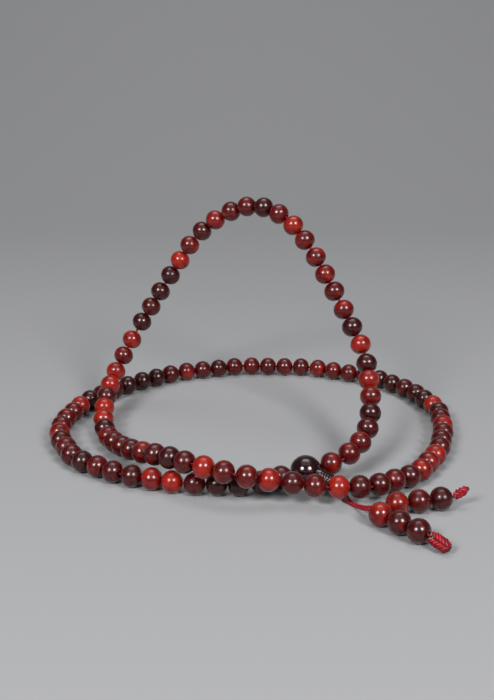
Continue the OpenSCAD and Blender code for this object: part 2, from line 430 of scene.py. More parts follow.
def grain_group() -> bpy.types.NodeTree:
    """Turned wood: growth bands, long fibres, warm patches and fine pores.

    Returns:
        The group, whose places are in millimetres with the fibres along z.
    """
    group, sheet, inner, leaving = new_group(
        "Turned wood grain",
        {
            "Place": ("Vector", (0.0, 0.0, 0.0)),
            "Tone": ("Float", 0.5),
            "Deep": ("Color", (0.02, 0.0, 0.0)),
            "Main": ("Color", (0.1, 0.01, 0.01)),
            "Fiery": ("Color", (0.2, 0.02, 0.01)),
            "Tone spread": ("Float", 0.8),
        },
        {"Color": "Color", "Hardness": "Float", "Height": "Float"},
    )
    place = inner["Place"]
    warp = sheet.add("TexNoise", None, {"Vector": place, "Scale": 0.22, "Detail": 2.0}).outputs["Color"]
    bent = sheet.add("VectorMath", {"operation": "MULTIPLY_ADD"}, {0: warp, 1: GRAIN_WARP, 2: place})
    wave_inputs = {"Vector": bent.outputs[0], "Scale": 0.24, "Distortion": 2.2, "Detail": 2.0}
    bands = sheet.add("TexWave", {"bands_direction": "X"}, wave_inputs).outputs["Fac"]
    fibres = sheet.noise(sheet.stretch(bent.outputs[0], FIBRE_STRETCH), 1.0, 3.0, 0.6)
    patches = sheet.noise(sheet.stretch(place, PATCH_STRETCH), 0.26, 1.5)
    pores = sheet.ramp(sheet.noise(sheet.stretch(place, PORE_STRETCH), 1.0, 1.0), *PORE_EDGE)

    level = sheet.maths("MULTIPLY", bands, BAND_SHARE)
    level = sheet.maths("ADD", level, sheet.maths("MULTIPLY", fibres, FIBRE_SHARE))
    tone = sheet.maths("MULTIPLY", sheet.maths("SUBTRACT", inner["Tone"], 0.5), inner["Tone spread"])
    level = sheet.maths("ADD", level, tone)
    colour = sheet.mix(sheet.ramp(level, *DEEP_TO_MAIN), inner["Deep"], inner["Main"])
    fire = sheet.ramp(sheet.maths("ADD", patches, tone), *MAIN_TO_FIERY, 0.0, MOST_FIERY)
    colour = sheet.mix(fire, colour, inner["Fiery"])
    colour = sheet.mix(sheet.maths("MULTIPLY", pores, PORE_DARKNESS), colour, inner["Deep"])
    sheet.feed(leaving.inputs["Color"], colour)
    sheet.feed(leaving.inputs["Hardness"], sheet.ramp(fibres, 0.3, 0.7))
    height = sheet.maths("SUBTRACT", sheet.maths("MULTIPLY", fibres, FIBRE_HEIGHT), pores)
    sheet.feed(leaving.inputs["Height"], height)
    return group


# How far smears roughen the bore mouths' edge, where the painted shade of the bore mouths and the dull
# patches begin and are full, and how much of the wax is left where it is dullest.
MOUTH_SMEAR = 0.25
MOUTH_SHADE_EDGE = (0.35, 1.1)
DULL_EDGE = (0.38, 0.72)
LEAST_WAX = 0.35


def wear_and_mouth_shade_group() -> bpy.types.NodeTree:
    """Years of wear: a polish that varies a little, duller bore mouths, faint dents, and painted shade that
    darkens the bore mouths.

    Returns:
        The group.
    """
    group, sheet, inner, leaving = new_group(
        "Handling",
        {
            "Place": ("Vector", (0.0, 0.0, 0.0)),
            "Color": ("Color", (0.1, 0.01, 0.01)),
            "Bore mouth": ("Float", 0.0),
            "Polished": ("Float", 0.2),
            "Dull": ("Float", 0.4),
            # Painted shade colour for inside the bore mouths.
            "Grime": ("Color", (0.01, 0.0, 0.0)),
        },
        {"Color": "Color", "Roughness": "Float", "Coat": "Float", "Height": "Float"},
    )
    smears = sheet.noise(inner["Place"], 0.55, 3.0, 0.62)
    dents = sheet.noise(inner["Place"], 0.9, 1.0)
    edge = sheet.maths("ADD", inner["Bore mouth"], sheet.maths("MULTIPLY", smears, MOUTH_SMEAR))
    mouth = sheet.ramp(edge, *MOUTH_SHADE_EDGE)
    # Painted shade: the colour is darkened inside and around the bore mouths.
    sheet.feed(leaving.inputs["Color"], sheet.mix(mouth, inner["Color"], inner["Grime"]))
    spread = sheet.maths("SUBTRACT", inner["Dull"], inner["Polished"])
    share = sheet.maths("MAXIMUM", sheet.ramp(smears, *DULL_EDGE), mouth)
    rough = sheet.maths("ADD", inner["Polished"], sheet.maths("MULTIPLY", spread, share))
    sheet.feed(leaving.inputs["Roughness"], rough)
    sheet.feed(leaving.inputs["Coat"], sheet.ramp(share, 0.0, 1.0, 1.0, LEAST_WAX))
    sheet.feed(leaving.inputs["Height"], dents)
    return group


# Where filaments and dye pass from dark to light, and how much each of them changes the colour.
FILAMENT_EDGE, FILAMENT_SHARE = (0.3, 0.72), (0.12, 0.88)
DYE_EDGE, DYE_SHARE = (0.3, 0.7), (-0.12, 0.12)
DYE_STRETCH = (3.0, 3.0, 3.0)
# How much of the lit share is left in the painted shade of the valley between plies.
VALLEY_LIGHT = 0.25
SATIN_ROUGHNESS = (0.46, 0.34)


def fibre_group() -> bpy.types.NodeTree:
    """Fine filaments that run along each ply of a cord, mixed from a lit and a shade colour, with painted
    shade in the valley between plies.

    Returns:
        The group.
    """
    group, sheet, inner, leaving = new_group(
        "Cord filaments",
        {
            "Place": ("Vector", (0.0, 0.0, 0.0)),
            "Valley shade": ("Float", 0.0),
            "Shade": ("Color", (0.1, 0.0, 0.01)),
            "Lit": ("Color", (0.5, 0.01, 0.05)),
        },
        {"Color": "Color", "Roughness": "Float", "Height": "Float"},
    )
    filaments = sheet.noise(inner["Place"], 5.5, 2.0, 0.6)
    dye = sheet.noise(sheet.stretch(inner["Place"], DYE_STRETCH), 1.3, 1.0)
    # Painted light and shade: the tops of the filaments take the lit colour, the gaps the shade colour.
    tops = sheet.ramp(filaments, *FILAMENT_EDGE, *FILAMENT_SHARE)
    share = sheet.maths("ADD", tops, sheet.ramp(dye, *DYE_EDGE, *DYE_SHARE))
    # Painted shade: the valley between plies is pushed towards the shade colour.
    share = sheet.maths("MULTIPLY", share, sheet.ramp(inner["Valley shade"], 0.0, 1.0, 1.0, VALLEY_LIGHT))
    sheet.feed(leaving.inputs["Color"], sheet.mix(share, inner["Shade"], inner["Lit"]))
    sheet.feed(leaving.inputs["Roughness"], sheet.ramp(filaments, *DYE_EDGE, *SATIN_ROUGHNESS))
    sheet.feed(leaving.inputs["Height"], filaments)
    return group


def new_material(name: str) -> tuple[bpy.types.Material, Sheet, bpy.types.Node]:
    """Starts a material.

    Args:
        name: The material's name.

    Returns:
        The material, a sheet to draw it on and its Principled shader.
    """
    material = bpy.data.materials.new(name)
    material.use_nodes = True
    return material, Sheet(material.node_tree), material.node_tree.nodes["Principled BSDF"]


@dataclass(frozen=True)
class WoodFinish:
    """A turned, hand-polished wood.

    Attributes:
        name: The material's name.
        deep: Colour of the dark fibres and pores.
        main: The wood's own colour.
        fiery: Colour of its warm patches.
        grime: Painted shade colour inside the bore mouths.
        tone_spread: How much one bead differs from the next.
        polished: Roughness where hands have polished it.
        dull: Roughness where they haven't.
        coat_roughness: Roughness of the wax and oil on top.
        coat_ior: How strongly that layer reflects.
        gloss: How strongly the wood below it reflects.
        relief: Strength of the pores, fibres and dents.
        pore_depth: Depth of a pore.
        dent_depth: Depth of a dent.
    """

    name: str
    deep: Colour
    main: Colour
    fiery: Colour
    grime: Colour
    tone_spread: float
    polished: float
    dull: float
    coat_roughness: float
    coat_ior: float
    gloss: float
    relief: float
    pore_depth: float = 0.03 * MM
    dent_depth: float = 0.05 * MM

    def material(self, grain: bpy.types.NodeTree, handling: bpy.types.NodeTree) -> bpy.types.Material:
        """Builds the material.

        Args:
            grain: The turned wood grain group.
            handling: The group of wear and of the painted shade in the bore mouths.

        Returns:
            The material.
        """
        material, sheet, shader = new_material(self.name)
        place = sheet.attribute(GRAIN_PLACE).outputs["Vector"]
        wood = sheet.add("Group", {"node_tree": grain}, {
            "Place": place,
            "Tone": sheet.attribute(WOOD_TONE).outputs["Fac"],
            "Deep": self.deep,
            "Main": self.main,
            "Fiery": self.fiery,
            "Tone spread": self.tone_spread,
        })
        # Wear, and painted shade that darkens the bore mouths.
        worn_and_shaded = sheet.add("Group", {"node_tree": handling}, {
            "Place": place,
            "Color": wood.outputs["Color"],
            "Bore mouth": sheet.attribute(LIP_NEARNESS).outputs["Fac"],
            "Polished": self.polished,
            "Dull": self.dull,
            "Grime": self.grime,
        })
        sheet.feed(shader.inputs["Base Color"], worn_and_shaded.outputs["Color"])
        sheet.feed(shader.inputs["Roughness"], worn_and_shaded.outputs["Roughness"])
        sheet.feed(shader.inputs["Coat Weight"], worn_and_shaded.outputs["Coat"])
        shader.inputs["Coat Roughness"].default_value = self.coat_roughness
        shader.inputs["Coat IOR"].default_value = self.coat_ior
        shader.inputs["Specular IOR Level"].default_value = self.gloss
        pores = sheet.add("Bump", None, {"Strength": self.relief, "Distance": self.pore_depth,
                                         "Height": wood.outputs["Height"]})
        dents = sheet.add("Bump", None, {"Strength": self.relief, "Distance": self.dent_depth,
                                         "Height": worn_and_shaded.outputs["Height"], "Normal": pores.outputs[0]})
        sheet.feed(shader.inputs["Normal"], dents.outputs[0])
        return material


@dataclass(frozen=True)
class CordFinish:
    """A twisted satin cord.

    Attributes:
        name: The material's name.
        shade: Colour between its filaments.
        lit: Colour on top of them.
        sheen: Strength of the soft glow at its edges.
        sheen_tint: Colour of that glow.
        relief: Strength of the filaments.
        filament_depth: Their depth.
        sheen_roughness: How far that glow spreads.
        gloss: How strongly the cord reflects.
    """

    name: str
    shade: Colour
    lit: Colour
    sheen: float
    sheen_tint: Colour
    relief: float
    filament_depth: float = 0.04 * MM
    sheen_roughness: float = 0.4
    gloss: float = 0.4

    def material(self, fibres: bpy.types.NodeTree) -> bpy.types.Material:
        """Builds the material from the filament group."""
        material, sheet, shader = new_material(self.name)
        satin = sheet.add("Group", {"node_tree": fibres}, {
            "Place": sheet.attribute(FIBRE_PLACE).outputs["Vector"],
            # Painted shade in the valley between plies, stored on the mesh.
            "Valley shade": sheet.attribute(PLY_VALLEY_SHADE).outputs["Fac"],
            "Shade": self.shade,
            "Lit": self.lit,
        })
        sheet.feed(shader.inputs["Base Color"], satin.outputs["Color"])
        sheet.feed(shader.inputs["Roughness"], satin.outputs["Roughness"])
        shader.inputs["Sheen Weight"].default_value = self.sheen
        shader.inputs["Sheen Roughness"].default_value = self.sheen_roughness
        shader.inputs["Sheen Tint"].default_value = (*self.sheen_tint, 1.0)
        shader.inputs["Specular IOR Level"].default_value = self.gloss
        bump = sheet.add("Bump", None, {"Strength": self.relief, "Distance": self.filament_depth,
                                        "Height": satin.outputs["Height"]})
        sheet.feed(shader.inputs["Normal"], bump.outputs[0])
        return material


@dataclass(frozen=True)
class PaperFinish:
    """Plain matt paper for the floor and the backdrop.

    Attributes:
        name: The material's name.
        colour: Its colour.
        tooth_scale: How fine its tooth is.
        tooth_shade: How dark the hollows of the tooth are, as a share of the colour.
        roughness: Its roughness.
        gloss: How strongly it reflects.
    """

    name: str = "pale paper"
    colour: Colour = (0.312, 0.314, 0.322)
    tooth_scale: float = 900.0
    tooth_shade: float = 0.985
    roughness: float = 0.9
    gloss: float = 0.15

    def material(self) -> bpy.types.Material:
        """Builds the material."""
        material, sheet, shader = new_material(self.name)
        where = sheet.add("TexCoord").outputs["Object"]
        tooth = sheet.noise(where, self.tooth_scale, 2.0)
        shade = tuple(c * self.tooth_shade for c in self.colour)
        sheet.feed(shader.inputs["Base Color"], sheet.mix(tooth, shade, self.colour))
        shader.inputs["Roughness"].default_value = self.roughness
        shader.inputs["Specular IOR Level"].default_value = self.gloss
        return material


RED_SANDALWOOD = WoodFinish(
    name="red sandalwood",
    deep=(0.028, 0.0006, 0.0008),
    main=(0.115, 0.0018, 0.0015),
    fiery=(0.300, 0.0100, 0.0022),
    # Painted shade colour inside the bore mouths.
    grime=(0.006, 0.0006, 0.0006),
    tone_spread=0.7,
    polished=0.26,
    dull=0.38,
    coat_roughness=0.19,
    coat_ior=1.42,
    gloss=0.25,
    relief=0.35,
)
DARK_WOOD = WoodFinish(
    name="dark polished wood",
    deep=(0.005, 0.0007, 0.0014),
    main=(0.016, 0.0018, 0.0032),
    fiery=(0.040, 0.0040, 0.0045),
    # Painted shade colour inside the bore mouths.
    grime=(0.004, 0.0010, 0.0014),
    tone_spread=0.6,
    polished=0.12,
    dull=0.24,
    coat_roughness=0.07,
    coat_ior=1.5,
    gloss=0.4,
    relief=0.2,
)
SATIN_CORD = CordFinish(
    name="satin cord",
    shade=(0.110, 0.0004, 0.0040),
    lit=(0.520, 0.0020, 0.0190),
    sheen=0.06,
    sheen_tint=(1.0, 0.35, 0.42),
    relief=0.6,
)
MELTED_TIP = CordFinish(
    name="melted cord tip",
    shade=(0.015, 0.0070, 0.0080),
    lit=(0.090, 0.0450, 0.0480),
    sheen=0.05,
    sheen_tint=(0.8, 0.6, 0.6),
    relief=0.25,
)


@dataclass
class Finishes:
    """Every material, built once.

    Attributes:
        bead_wood: The round beads' wood.
        dark_wood: The guru bead's and the finial's.
        cord: The cord's satin.
        tip: The melted cord ends.
        paper: The paper sweep.
    """

    bead_wood: bpy.types.Material = field(init=False)
    dark_wood: bpy.types.Material = field(init=False)
    cord: bpy.types.Material = field(init=False)
    tip: bpy.types.Material = field(init=False)
    paper: bpy.types.Material = field(init=False)

    def __post_init__(self) -> None:
        """Builds the shared groups, then the materials."""
        grain, handling, fibres = grain_group(), wear_and_mouth_shade_group(), fibre_group()
        self.bead_wood = RED_SANDALWOOD.material(grain, handling)
        self.dark_wood = DARK_WOOD.material(grain, handling)
        self.cord = SATIN_CORD.material(fibres)
        self.tip = MELTED_TIP.material(fibres)
        self.paper = PaperFinish().material()


# ---------------------------------------------------------------------------------------------------
# Camera, lights and floor


@dataclass
class Studio:
    """A pale sweep of paper, two softboxes, a broad overhead one, and the camera.

    Attributes:
        camera_at: Where the camera stands.
        camera_dip: How far it looks down, in degrees.
        lens: Its focal length in millimetres.
        sensor: The width of its sensor in millimetres.
        clip: The nearest and farthest that it sees.
        key_distance: From the object to each softbox.
        key_size: Side of a softbox.
        key_power: Power of a softbox, in watts.
        key_spread: Angle from the camera's direction to a softbox, in degrees.
        key_height: Elevation of the softboxes, in degrees.
        top_height: Height of the overhead and the backdrop lamps.
        top_size: Side of the overhead lamp.
        top_power: Its power, in watts.
        back_size: Side of the backdrop lamp.
        back_power: Its power, in watts.
        wall_lit: Where on the paper the backdrop lamp points, behind the object.
        surround: Strength of the light from all round.
        surround_colour: Its colour.
        floor_half: Half the paper's width.
        bend_start: Where the paper starts to rise, behind the object.
        bend_radius: Radius of that bend.
        wall_height: Height of the paper behind the object.
    """

    camera_at: Vector = field(default_factory=lambda: Vector((-0.0026, -0.3882, 0.1531)))
    camera_dip: float = 17.17
    lens: float = 53.9
    sensor: float = 36.0
    clip: tuple[float, float] = (0.01, 20.0)
    key_distance: float = 1.1
    key_size: float = 0.3
    key_power: float = 8.6
    key_spread: float = 33.0
    key_height: float = 36.0
    top_height: float = 1.5
    top_size: float = 1.6
    top_power: float = 4.2
    back_size: float = 0.8
    back_power: float = 6.0
    wall_lit: float = 1.1
    surround: float = 0.08
    surround_colour: Colour = (0.97, 0.98, 1.0)
    floor_half: float = 3.0
    bend_start: float = 0.42
    bend_radius: float = 1.0
    wall_height: float = 2.2

    def place_camera(self) -> None:
        """Makes the camera and the colour handling."""
        data = bpy.data.cameras.new("camera")
        data.lens, data.sensor_width = self.lens, self.sensor
        data.clip_start, data.clip_end = self.clip
        camera = bpy.data.objects.new("camera", data)
        camera.location = self.camera_at
        camera.rotation_euler = Euler((math.radians(90.0 - self.camera_dip), 0.0, 0.0))
        bpy.context.scene.collection.objects.link(camera)
        bpy.context.scene.camera = camera
        bpy.context.scene.view_settings.view_transform = "Standard"

    def softbox(self, name: str, at: Vector, facing: Vector, size: float, power: float) -> None:
        """Hangs one square lamp.

        Args:
            name: The lamp's name.
            at: Where it hangs.
            facing: The place that it faces.
            size: Its side.
            power: Its power in watts.
        """
        data = bpy.data.lights.new(name, "AREA")
        data.shape, data.size, data.energy = "SQUARE", size, power
        lamp = bpy.data.objects.new(name, data)
        lamp.location = at
        lamp.rotation_euler = (facing - at).to_track_quat("-Z", "Y").to_euler()
        bpy.context.scene.collection.objects.link(lamp)

    def light(self) -> None:
        """Hangs the lamps and sets the surrounding light."""
        rise = math.radians(self.key_height)
        for side in (-1, 1):
            turn = math.radians(side * self.key_spread)
            way = Vector((math.sin(turn) * math.cos(rise), -math.cos(turn) * math.cos(rise), math.sin(rise)))
            name = "left softbox" if side < 0 else "right softbox"
            self.softbox(name, way * self.key_distance, Vector(), self.key_size, self.key_power)
        top = Vector((0.0, 0.0, self.top_height))
        self.softbox("overhead softbox", top, Vector(), self.top_size, self.top_power)
        back, wall = Vector((0.0, self.bend_start, self.top_height)), Vector((0.0, self.wall_lit, 0.0))
        self.softbox("backdrop softbox", back, wall, self.back_size, self.back_power)
        world = bpy.data.worlds.new("room")
        world.use_nodes = True
        world.node_tree.nodes["Background"].inputs[0].default_value = (*self.surround_colour, 1.0)
        world.node_tree.nodes["Background"].inputs[1].default_value = self.surround
        bpy.context.scene.world = world

    def lay_floor(self, paper: bpy.types.Material) -> None:
        """Rolls the paper out on the floor and up behind the object."""
        steps = 24
        bend = arc((self.bend_start, self.bend_radius), self.bend_radius, -90.0, 0.0, steps)
        rows = [(-self.floor_half, 0.0), *bend, (bend[-1][0], self.wall_height)]
        points = np.array([(side * self.floor_half, y, z) for y, z in rows for side in (-1, 1)])
        faces = [(2 * i, 2 * i + 1, 2 * i + 3, 2 * i + 2) for i in range(len(rows) - 1)]
        mesh = bpy.data.meshes.new("paper sweep")
        mesh.from_pydata(points.tolist(), [], faces)
        mesh.materials.append(paper)
        mesh.shade_smooth()
        sweep = bpy.data.objects.new("paper_sweep", mesh)
        bpy.context.scene.collection.objects.link(sweep)


# ---------------------------------------------------------------------------------------------------
# Beads

# The rounding of a bore mouth, from the flank to the bore: how far each point is out from the bore and
# up from the flank's edge, as shares of the lip.
LIP_PROFILE = ((0.62, 0.06), (0.30, -0.06), (0.08, -0.36), (0.0, -0.85))
# How far the painted shade reaches from a bore mouth, as a share of the lip.
MOUTH_SHADE_REACH = 1.5
# How far a cut of wood may be moved along each axis, in millimetres, so that no two look alike.
CUT_RANGE = 90.0
CUT_SEED, TONE_SEED, GURU_SEED, TOWER_SEED = 108, 27, 7, 11


def wood_shift(draw: random.Random) -> np.ndarray:
    """Picks the place in the wood that a piece is cut from, in millimetres."""
    return np.array([draw.uniform(-CUT_RANGE, CUT_RANGE) for _ in range(3)])


def dress_wood(piece: bpy.types.Object, places: np.ndarray, tone: float, nearness: np.ndarray) -> None:
    """Gives a turned piece its grain, tone and bore mouths.

    Args:
        piece: The piece.
        places: Where each of its points was in the wood, in millimetres.
        tone: From 0, the darkest wood, to 1, the most fiery.
        nearness: How near each point is to a bore mouth, from 0 to 1.
    """
    give(piece.data, GRAIN_PLACE, places)
    give(piece.data, WOOD_TONE, np.full(len(places), tone))
    give(piece.data, LIP_NEARNESS, nearness)


@dataclass
class TurnedBead:
    """A bored bead, a little shorter than it is wide, with rounded bore mouths.

    Attributes:
        width: Across the bead.
        length: Along its bore.
        bore: Width of the bore.
        lip: How far the mouth's rounding reaches out from the bore.
        finish: Its material.
        slot: Its slot in the record; not used.
        cuts: Draws each bead's own cut of the wood.
        sides: Steps in a turn.
        rows: Steps from one mouth to the other.
        tone_spread: How far a bead's tone may stray from the wanted one.
    """

    width: float
    length: float
    bore: float
    lip: float
    finish: bpy.types.Material
    slot: Slot
    cuts: random.Random
    sides: int = 48
    rows: int = 28
    tone_spread: float = 0.06

    def outline(self) -> list[tuple[float, float]]:
        """The closed outline of one side: flank, upper lip, bore and lower lip."""
        round_radius, shift = self.length / 2, (self.width - self.length) / 2
        mouth = self.bore / 2
        reach = math.degrees(math.acos((mouth + self.lip - shift) / round_radius))
        flank = arc((shift, 0.0), round_radius, -reach, reach, self.rows)
        top = flank[-1][1]
        upper = [(mouth + self.lip * out, top + self.lip * rise) for out, rise in LIP_PROFILE]
        lower = [(r, -z) for r, z in reversed(upper)]
        inside = [(mouth, (top - self.lip) * (0.5 - i / 4)) for i in range(1, 4)]
        return [*flank, *upper, *inside, *lower]

    def build(self, name: str, at: Vector, way: Vector, tone: float) -> bpy.types.Object:
        """Turns one bead and gives it its own tone and its own cut of the wood.

        Args:
            name: The piece's name.
            at: Its middle.
            way: The direction of its bore.
            tone: From 0, the darkest wood, to 1, the most fiery.

        Returns:
            The bead.
        """
        points, faces = lathe(self.outline(), self.sides)
        bead = piece_from(name, points, faces, self.finish)
        radius = np.hypot(points[:, 0], points[:, 1])
        # Painted shade: points nearer a bore mouth are painted darker.
        nearness = np.clip(1.0 - (radius - self.bore / 2) / (self.lip * MOUTH_SHADE_REACH), 0.0, 1.0)
        cut = Euler([self.cuts.uniform(-math.pi, math.pi) for _ in range(3)]).to_matrix()
        places = points / MM @ np.array(cut).T + wood_shift(self.cuts)
        own_tone = min(max(tone + self.cuts.gauss(0.0, self.tone_spread), 0.0), 1.0)
        dress_wood(bead, places, own_tone, nearness)
        bead.matrix_world = aim(at, way, self.cuts.uniform(-math.pi, math.pi))
        return bead


@dataclass
class Run:
    """Beads that are threaded in one straight run and turn together.

    Attributes:
        node: The run's name in the part.
        first: The number of its first bead.
        count: How many beads it has.
        carrier: The body whose cord runs through it.
        pitch: From one bead's middle to the next.
        bead_length: Length of a bead.
        middle: The middle of the run.
        way: The direction of its bore.
    """

    node: str
    first: int
    count: int
    carrier: Body
    pitch: float
    bead_length: float
    middle: Vector = field(init=False)
    way: Vector = field(init=False)

    def __post_init__(self) -> None:
        """Finds the run in the part."""
        self.middle, self.way = middle_of(self.node), turning_axis(self.node)

    def bead_middles(self) -> list[Vector]:
        """The middle of each bead, in order."""
        steps = [i - (self.count - 1) / 2 for i in range(self.count)]
        return [self.middle + self.way * (self.pitch * step) for step in steps]

    def face(self, side: int, inset: float = 0.0) -> Vector:
        """A place on the bore's axis, just inside the first (-1) or last (1) bead's outer face."""
        half = ((self.count - 1) * self.pitch + self.bead_length) / 2
        return self.middle + self.way * (side * (half - inset))


def threaded_runs(pitch: float, bead_length: float) -> list[Run]:
    """Reads the runs of the main strand from the part, in their order on the cord.

    Args:
        pitch: From one bead's middle to the next in a run.
        bead_length: Length of a bead.

    Returns:
        The runs.
    """
    carriers = {j["child"]: j["parent"] for j in frame["joints"]}
    runs = []
    for node in frame["nodes"]:
        match = re.fullmatch(r"beads?_(\d+)(?:_to_(\d+))?", node)
        if match:
            first = int(match[1])
            last = int(match[2] or first)
            runs.append(Run(node, first, last - first + 1, Body(carriers[node]), pitch, bead_length))
    return sorted(runs, key=lambda run: run.first)


@dataclass
class BeadString:
    """The main strand's beads.

    Attributes:
        finishes: The materials.
        width: Across a bead.
        length: Along its bore.
        bore: Width of its bore.
        lip: How far a mouth's rounding reaches out from the bore.
        gap: Between two beads of a run.
        fiery: The numbers of the brightest beads, counted from the guru bead.
        dark: The numbers of the darkest beads.
        fiery_tone: Tone of the brightest.
        dark_tone: Tone of the darkest.
        plain_tone: Tone of the rest.
        tone_step: How far a bead may differ from its kind.
        runs: The runs of beads, in order.
    """

    finishes: Finishes
    width: float = 8.0 * MM
    length: float = 7.4 * MM
    bore: float = 1.8 * MM
    lip: float = 0.3 * MM
    gap: float = 0.15 * MM
    fiery: Sequence[int] = (
        7, 9, 13, 16, 24, 29, 31, 32, 34, 35, 45, 48, 51, 56, 58, 62, 65, 90, 94, 102, 103,
    )
    dark: Sequence[int] = (
        5, 8, 10, 18, 25, 26, 28, 36, 43, 66, 69, 70, 84, 85, 86, 89, 98, 101, 105, 106,
    )
    fiery_tone: float = 0.86
    dark_tone: float = 0.12
    plain_tone: float = 0.46
    tone_step: float = 0.12
    runs: list[Run] = field(init=False)

    def __post_init__(self) -> None:
        """Reads the runs."""
        self.runs = threaded_runs(self.length + self.gap, self.length)

    def tone(self, number: int, draw: random.Random) -> float:
        """Picks the tone of one bead.

        Args:
            number: The bead's number on the string.
            draw: Draws its difference from its kind.

        Returns:
            The tone.
        """
        if number in self.fiery:
            kind = self.fiery_tone
        elif number in self.dark:
            kind = self.dark_tone
        else:
            kind = self.plain_tone
        return kind + draw.uniform(-self.tone_step, self.tone_step)

    def build(self) -> list[bpy.types.Object]:
        """Threads every bead.

        Returns:
            The beads, in order.
        """
        turner = TurnedBead(self.width, self.length, self.bore, self.lip, self.finishes.bead_wood,
                            Slot.BEAD_WOOD, random.Random(CUT_SEED))
        draw = random.Random(TONE_SEED)
        beads = []
        for run in self.runs:
            for number, place in enumerate(run.bead_middles(), run.first):
                bead = turner.build(f"round_bead_{number:03d}", place, run.way, self.tone(number, draw))
                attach(bead, run.node)
                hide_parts(run.node)
                beads.append(bead)
        return beads


# ---------------------------------------------------------------------------------------------------
# Guru bead and finial

# The finial's lower rim, as points in from its flank and up from its edge, and the neck above its
# rings, as points out from the tip and up from the rings, all in millimetres.
FOOT_RIM = ((0.12, 0.03), (0.03, 0.1), (0.0, 0.28))
TIP_NECK = ((0.18, 0.08), (0.0, 0.3))


